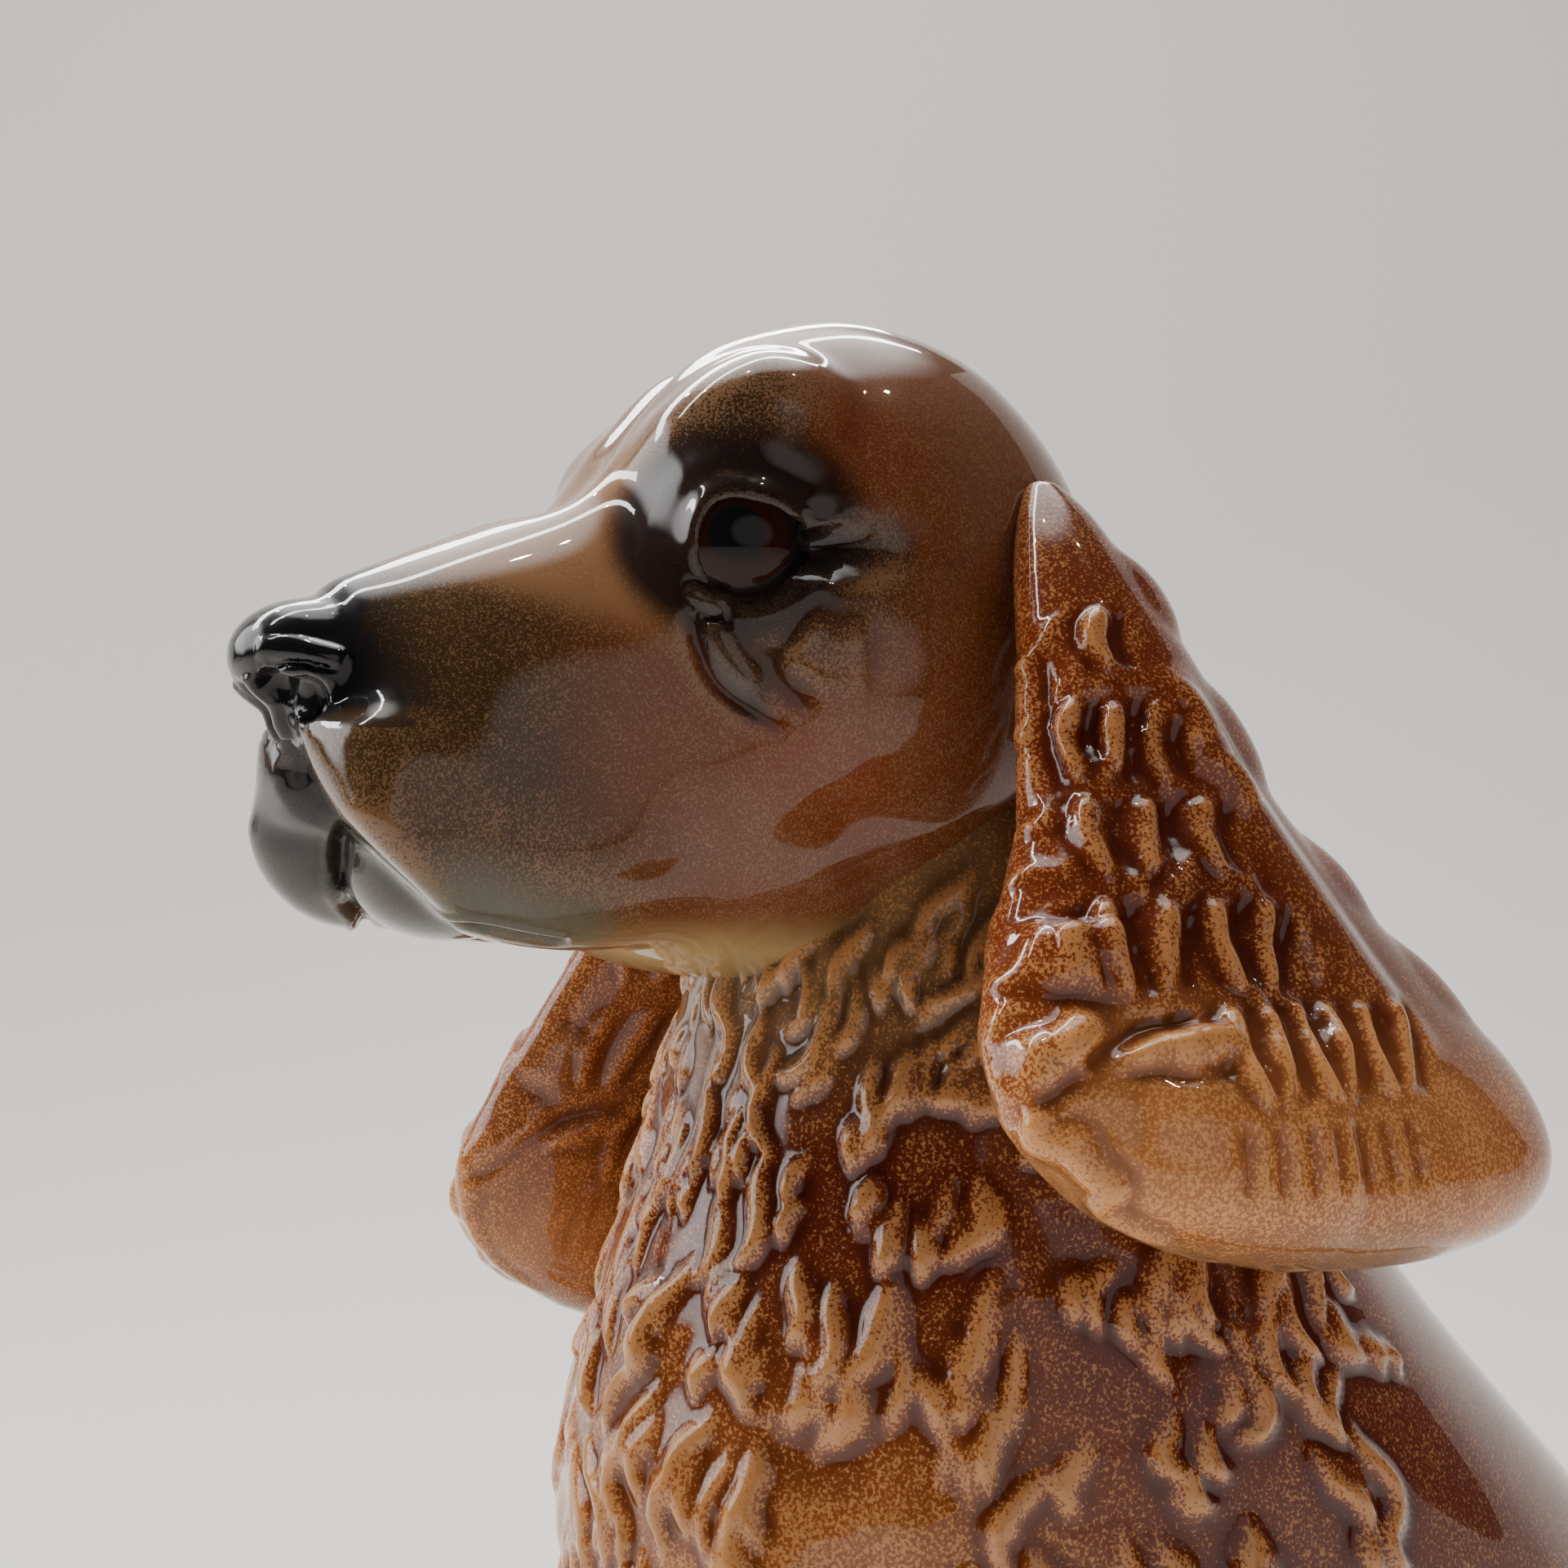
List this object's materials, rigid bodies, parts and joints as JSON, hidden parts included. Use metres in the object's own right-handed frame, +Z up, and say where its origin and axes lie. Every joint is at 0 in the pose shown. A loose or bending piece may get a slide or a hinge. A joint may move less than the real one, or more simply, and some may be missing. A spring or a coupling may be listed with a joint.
{
  "type": "ceramic dog figurine",
  "caption": "Seated spaniel figurine in glossy brown glaze, with a long muzzle, long hanging ears, a curled chest ruff and a flat foot to stand on.",
  "frame": {"origin": "on the ground plane, under the centre of the bounding box", "axes": "+Z up; the dog looks along -Y, so +Y is towards its tail; +X is towards the dog's left side"},
  "size_m": [0.1293, 0.2355, 0.2648],
  "materials": {
    "coat_glaze": "high gloss clear glaze over airbrushed rust brown, speckled where it thins on the ridges",
    "ear_glaze": "high gloss clear glaze over rust brown that lightens to golden orange on the lobes",
    "nose_glaze": "high gloss black glaze",
    "eye_glaze": "high gloss dark brown glaze with a black pupil",
    "bare_clay": "unglazed matt off-white body"
  },
  "bodies": {
    "root": {"torso": "coat_glaze", "base_slab": "bare_clay", "head": "coat_glaze", "nose": "nose_glaze", "eye_left": "eye_glaze", "eye_right": "eye_glaze", "ear_left": "ear_glaze", "ear_right": "ear_glaze", "foreleg_left": "coat_glaze", "foreleg_right": "coat_glaze", "hind_leg_left": "coat_glaze", "hind_leg_right": "coat_glaze", "tail": "coat_glaze"}
  },
  "joints": []
}
